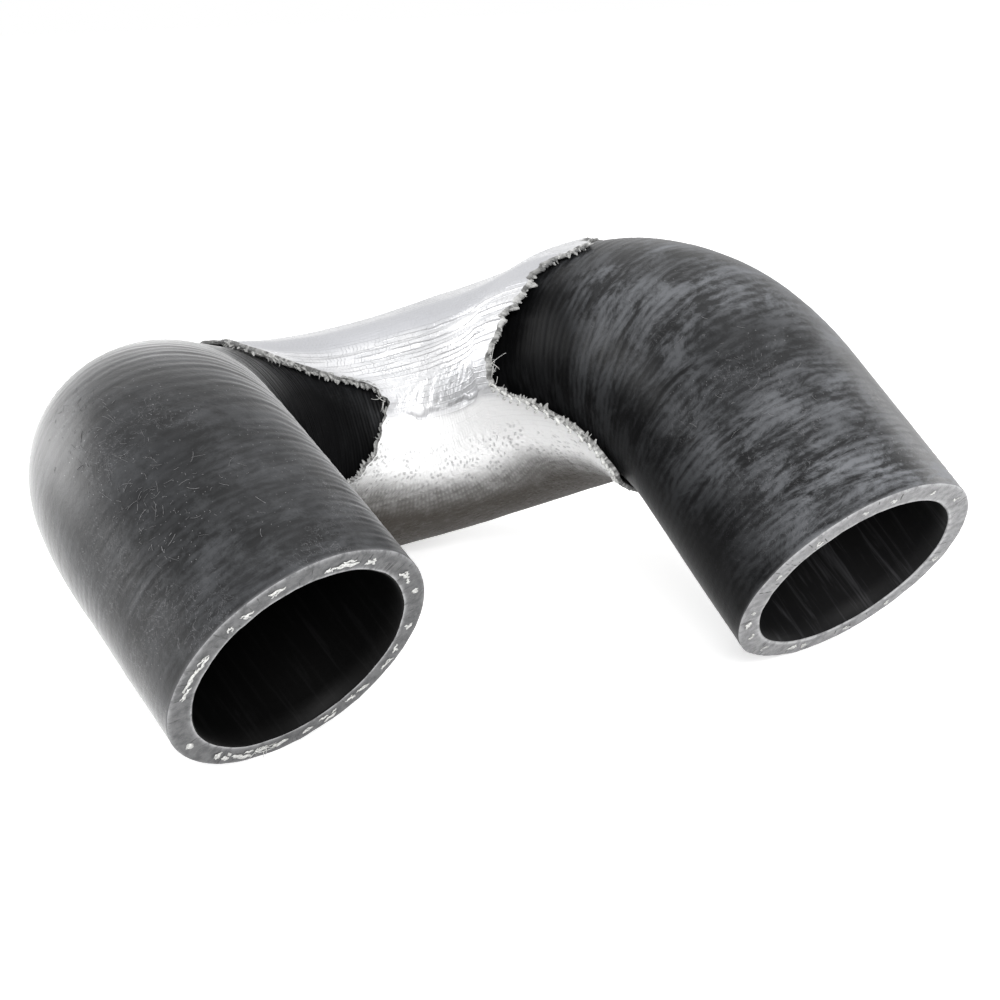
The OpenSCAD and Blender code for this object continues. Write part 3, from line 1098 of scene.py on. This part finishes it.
def yarn_ends(material):
    """White ends of the reinforcing yarn that show in the cut walls."""
    rng = random.Random(21)
    pieces = Pieces()
    # Angle round the cut, length along it and half width, for each end of yarn
    left = (
        (9, 4.8, 0.42), (0, 2.2, 0.25), (22, 2.6, 0.28), (50, 3.2, 0.30), (56, 1.5, 0.2),
        (67, 1.4, 0.32), (92, 1.6, 0.30), (106, 2.4, 0.22), (116, 2.8, 0.26), (132, 2.6, 0.34),
        (139, 2.2, 0.25), (151, 3.4, 0.34), (163, 2.6, 0.30), (177, 3.6, 0.40), (187, 3.0, 0.34),
        (197, 4.6, 0.42), (207, 2.0, 0.42), (213, 1.6, 0.40), (236, 2.2, 0.34), (275, 3.0, 0.26),
        (284, 6.0, 0.30), (293, 3.4, 0.24), (312, 1.6, 0.16), (321, 2.6, 0.22), (335, 3.4, 0.32),
    )
    right = (
        (109, 2.4, 0.36), (99, 1.4, 0.24), (123, 1.8, 0.3), (170, 2.6, 0.42), (178, 1.6, 0.28),
        (146, 1.2, 0.2), (205, 2.0, 0.24), (228, 1.4, 0.2), (262, 1.8, 0.22), (320, 1.6, 0.2),
        (344, 1.4, 0.18), (9, 1.6, 0.2), (24, 1.4, 0.18), (48, 2.0, 0.2), (72, 1.6, 0.18),
    )
    # Each end is three strands side by side, as shares of its length and its width
    strands = ((1.0, 1.35), (0.6, 0.945), (0.45, 0.81))
    body = np.array([0.3, 0.8, 1.0, 0.85, 1.0, 0.7, 0.3])
    t = np.linspace(-0.5, 0.5, 7)
    for s0, away, ends in ((0.0, -1.0, left), (PATH.length, 1.0, right)):
        s = np.full(7, s0 + away * 0.02)
        for q0, span, wide in ends:
            for number, (share, width) in enumerate(strands):
                middle = MID_WALL_R + rng.uniform(-0.7, 0.7)
                long = span * share * rng.uniform(0.8, 1.1)
                shift = rng.uniform(-0.4, 0.4) * span if number else 0
                q = q0 + np.degrees((shift + t * long) / middle)
                r = middle + rng.uniform(-0.9, 0.9) * t + 0.22 * np.sin(t * 11 + rng.uniform(0, 6))
                half = wide * width * rng.uniform(0.8, 1.1) * body
                pieces.tube(PATH.surface(s, q, r), half, 6, 0.3, PATH.at(s0)[1])
    # Hairs that curl out of the lowest end of the left cut
    t = np.linspace(0, 1, 6)
    for _ in range(7):
        q = 187 + rng.uniform(-4, 4) + rng.uniform(-6, 6) * t
        r = MID_WALL_R + rng.uniform(-1, 1) + rng.uniform(-2.2, 2.2) * t
        s = -0.1 - rng.uniform(0.3, 1.2) * t
        pieces.tube(PATH.surface(s, q, r), np.linspace(0.09, 0.04, 6), 4)
    return pieces.build("yarn_ends", material)


# Stage

def floor_material():
    """Pale matt floor that looks white to the camera and keeps the part's shadow."""
    n = new_material("pale_floor")
    rays = n.add("ShaderNodeLightPath").outputs
    seen = n.plus(rays["Is Camera Ray"], rays["Is Glossy Ray"])
    seen = n.plus(seen, rays["Is Transmission Ray"], clamp=True)
    matt = n.add("ShaderNodeBsdfDiffuse", {"Color": grey(0.86)})
    strength = n.times(seen, FLOOR_GLOW)
    glow = n.add("ShaderNodeEmission", {"Color": grey(1.0), "Strength": strength})
    both = n.add("ShaderNodeAddShader", {0: matt.outputs[0], 1: glow.outputs[0]})
    return n.show(both)


def floor_piece():
    size = FLOOR_HALF
    mesh = bpy.data.meshes.new("floor")
    corners = [(-size, -size, 0), (size, -size, 0), (size, size, 0), (-size, size, 0)]
    mesh.from_pydata(corners, [], [(0, 1, 2, 3)])
    mesh.materials.append(floor_material())
    put_in_scene("floor", mesh)


def world():
    """White to the camera and in reflections, dimmer as a light."""
    bpy.context.scene.world = bpy.data.worlds.new("studio")
    n = Nodes(bpy.context.scene.world, "ShaderNodeOutputWorld")
    rays = n.add("ShaderNodeLightPath").outputs
    seen = n.plus(rays["Is Camera Ray"], rays["Is Glossy Ray"], clamp=True)
    dim = n.add("ShaderNodeBackground", {"Color": grey(1.0), "Strength": WORLD_LIGHT})
    white = n.add("ShaderNodeBackground", {"Color": grey(1.0), "Strength": 1.0})
    n.show(n.add("ShaderNodeMixShader", {0: seen, 1: dim.outputs[0], 2: white.outputs[0]}))


def area_light(name, at, target, size, watts):
    """A soft light with a width and a height, at one place and aimed at another."""
    data = bpy.data.lights.new(name, "AREA")
    data.shape = "RECTANGLE"
    data.size, data.size_y = size
    data.energy = watts
    obj = put_in_scene(name, data)
    at, target = Vector(at), Vector(target)
    obj.location = at
    obj.rotation_euler = (target - at).to_track_quat("-Z", "Y").to_euler()


def camera():
    right, up = Vector(CAMERA_RIGHT).normalized(), Vector(CAMERA_UP)
    back = right.cross(up).normalized()
    up = back.cross(right)
    data = bpy.data.cameras.new("camera")
    data.lens = LENS
    data.sensor_width = SENSOR
    data.clip_end = 50
    obj = put_in_scene("camera", data)
    turn = Matrix((right, up, back)).transposed()
    obj.matrix_world = Matrix.Translation(Vector(CAMERA_AT) * MM) @ turn.to_4x4()
    bpy.context.scene.camera = obj


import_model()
camera()

rubber = [hose_rubber(), bore_rubber(), cut_rubber()]
cloth = [sleeve_foil(), glass_cloth()]
white_yarn = yarn("white_yarn", WHITE_YARN)
grey_yarn = yarn("grey_yarn", GREY_YARN)

hose = hose_piece(rubber)
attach(hose, "root")
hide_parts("hose")

ends = yarn_ends(white_yarn)
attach(ends, "root")

sleeve, edges, flat_mm, area_mm2 = sleeve_piece(cloth)
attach(sleeve, "root")
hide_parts("heat_sleeve")

hairs = lint(yarn("pale_lint", PALE_LINT))
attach(hairs, "root")

fringe = fringe_piece(edges, grey_yarn)
threads = loose_threads(white_yarn)
cord = edge_cord(yarn("dark_yarn", DARK_YARN))
for piece in (fringe, threads, cord):
    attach(piece, "root")

floor_piece()
world()
area_light("top_soft", (0.1, 0.25, 1.3), (0, 0.02, 0.03), (1.6, 1.2), 4.5)
area_light("front_soft", (0.15, -0.95, 0.60), (0, 0.02, 0.04), (0.7, 0.5), 10.5)
area_light("left_soft", (-1.1, 0.35, 0.30), (-0.03, 0, 0.05), (0.9, 0.5), 9.0)
area_light("right_soft", (1.1, 0.6, 0.40), (0.03, 0, 0.05), (0.8, 0.5), 7.0)
bpy.context.scene.view_settings.view_transform = "Standard"
